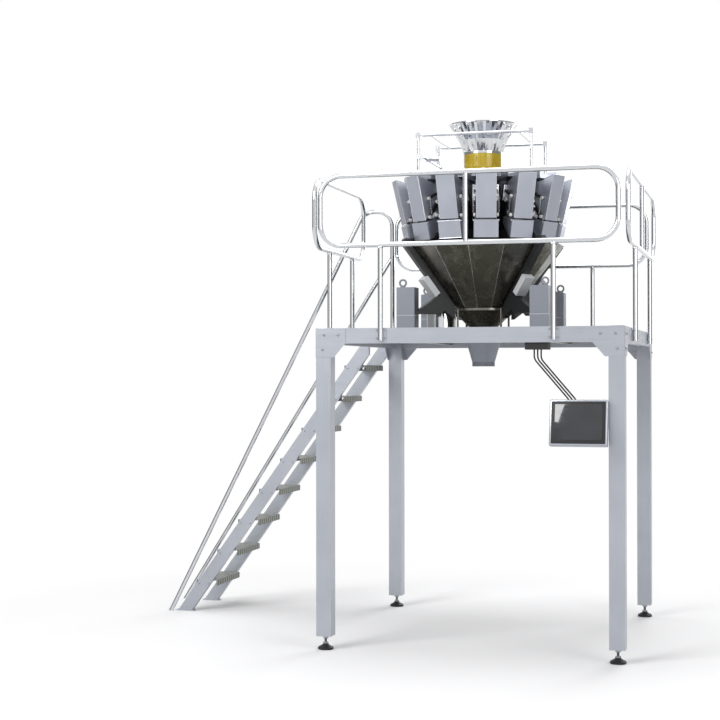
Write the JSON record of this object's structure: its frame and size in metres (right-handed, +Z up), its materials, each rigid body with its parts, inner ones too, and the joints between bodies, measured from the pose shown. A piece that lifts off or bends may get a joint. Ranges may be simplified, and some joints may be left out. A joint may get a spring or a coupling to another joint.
{
  "type": "multihead weigher on a work platform",
  "caption": "Round multihead weigher with hopper stacks over a many-sided discharge cone, on a stainless work platform with guardrails and a stair.",
  "frame": {"origin": "on the floor under the vertical axis of the weigher and its discharge spout", "axes": "+Z is up, along the axis of the infeed rim; -Y is the front with the operator screen; the stair is on the -X side"},
  "size_m": [3.7452, 2.1688, 3.548],
  "materials": {
    "frame_steel": "brushed stainless sheet",
    "deck_steel": "patterned stainless plate",
    "rail_tube": "polished stainless tube",
    "pillar_steel": "bead-blasted stainless box",
    "dark_steel": "satin black",
    "white_box": "satin light grey",
    "housing_steel": "brushed stainless",
    "hopper_steel": "bead-blasted stainless sheet",
    "cone_steel": "dark brushed stainless",
    "funnel_steel": "polished ribbed stainless",
    "amber_collar": "clear amber plastic",
    "sensor_metal": "nickel-plated",
    "screen_case": "brushed stainless case",
    "black_plastic": "matt black",
    "foot_rubber": "black moulded foot",
    "polished_steel": "polished stainless"
  },
  "bodies": {
    "root": {"platform_posts": "frame_steel", "levelling_feet": "foot_rubber", "deck_beams": "frame_steel", "deck": "deck_steel", "front_guardrail": "rail_tube", "left_guardrail": "rail_tube", "right_guardrail": "rail_tube", "back_guardrail": "rail_tube", "stair_stringers": "frame_steel", "stair_treads": "deck_steel", "stair_handrails": "rail_tube", "base_pillars": "pillar_steel", "support_legs": "dark_steel", "leg_boxes": "white_box", "body_housing": "housing_steel", "drive_units": "dark_steel", "feeder_drives": "housing_steel", "top_cone": "housing_steel", "feeder_pans": "hopper_steel", "feed_hoppers": "hopper_steel", "weigh_hoppers": "hopper_steel", "discharge_cone": "cone_steel", "collector_funnel": "cone_steel", "drop_funnel": "pillar_steel", "infeed_funnel": "funnel_steel", "infeed_collar": "amber_collar", "infeed_frame": "rail_tube", "level_sensor": "sensor_metal", "screen_housing": "screen_case", "screen_arm": "rail_tube", "junction_box": "black_plastic", "drum": "polished_steel"},
    "gate_01": {"gate_01": "hopper_steel"},
    "gate_02": {"gate_02": "hopper_steel"},
    "gate_03": {"gate_03": "hopper_steel"},
    "gate_04": {"gate_04": "hopper_steel"},
    "gate_05": {"gate_05": "hopper_steel"},
    "gate_06": {"gate_06": "hopper_steel"},
    "gate_07": {"gate_07": "hopper_steel"},
    "gate_08": {"gate_08": "hopper_steel"},
    "gate_09": {"gate_09": "hopper_steel"},
    "gate_10": {"gate_10": "hopper_steel"},
    "gate_11": {"gate_11": "hopper_steel"},
    "gate_12": {"gate_12": "hopper_steel"},
    "gate_13": {"gate_13": "hopper_steel"},
    "gate_14": {"gate_14": "hopper_steel"}
  },
  "joints": [
    {"name": "gate_01_hinge", "type": "hinge", "parent": "root", "child": "gate_01", "pos_m": [0.12408, -0.54364, 2.82482], "axis": [-0.9749, -0.2225, 0], "range_deg": [0, 50]},
    {"name": "gate_02_hinge", "type": "hinge", "parent": "root", "child": "gate_02", "pos_m": [0.34767, -0.43596, 2.82482], "axis": [-0.7818, -0.6235, 0], "range_deg": [0, 50]},
    {"name": "gate_03_hinge", "type": "hinge", "parent": "root", "child": "gate_03", "pos_m": [0.5024, -0.24194, 2.82482], "axis": [-0.4339, -0.901, 0], "range_deg": [0, 50]},
    {"name": "gate_04_hinge", "type": "hinge", "parent": "root", "child": "gate_04", "pos_m": [0.55762, 0, 2.82482], "axis": [0, -1, 0], "range_deg": [0, 50]},
    {"name": "gate_05_hinge", "type": "hinge", "parent": "root", "child": "gate_05", "pos_m": [0.5024, 0.24194, 2.82482], "axis": [0.4339, -0.901, 0], "range_deg": [0, 50]},
    {"name": "gate_06_hinge", "type": "hinge", "parent": "root", "child": "gate_06", "pos_m": [0.34767, 0.43596, 2.82482], "axis": [0.7818, -0.6235, 0], "range_deg": [0, 50]},
    {"name": "gate_07_hinge", "type": "hinge", "parent": "root", "child": "gate_07", "pos_m": [0.12408, 0.54364, 2.82482], "axis": [0.9749, -0.2225, 0], "range_deg": [0, 50]},
    {"name": "gate_08_hinge", "type": "hinge", "parent": "root", "child": "gate_08", "pos_m": [-0.12408, 0.54364, 2.82482], "axis": [0.9749, 0.2225, 0], "range_deg": [0, 50]},
    {"name": "gate_09_hinge", "type": "hinge", "parent": "root", "child": "gate_09", "pos_m": [-0.34767, 0.43596, 2.82482], "axis": [0.7818, 0.6235, 0], "range_deg": [0, 50]},
    {"name": "gate_10_hinge", "type": "hinge", "parent": "root", "child": "gate_10", "pos_m": [-0.5024, 0.24194, 2.82482], "axis": [0.4339, 0.901, 0], "range_deg": [0, 50]},
    {"name": "gate_11_hinge", "type": "hinge", "parent": "root", "child": "gate_11", "pos_m": [-0.55762, 0, 2.82482], "axis": [0, 1, 0], "range_deg": [0, 50]},
    {"name": "gate_12_hinge", "type": "hinge", "parent": "root", "child": "gate_12", "pos_m": [-0.5024, -0.24194, 2.82482], "axis": [-0.4339, 0.901, 0], "range_deg": [0, 50]},
    {"name": "gate_13_hinge", "type": "hinge", "parent": "root", "child": "gate_13", "pos_m": [-0.34767, -0.43596, 2.82482], "axis": [-0.7818, 0.6235, 0], "range_deg": [0, 50]},
    {"name": "gate_14_hinge", "type": "hinge", "parent": "root", "child": "gate_14", "pos_m": [-0.12408, -0.54364, 2.82482], "axis": [-0.9749, 0.2225, 0], "range_deg": [0, 50]}
  ]
}
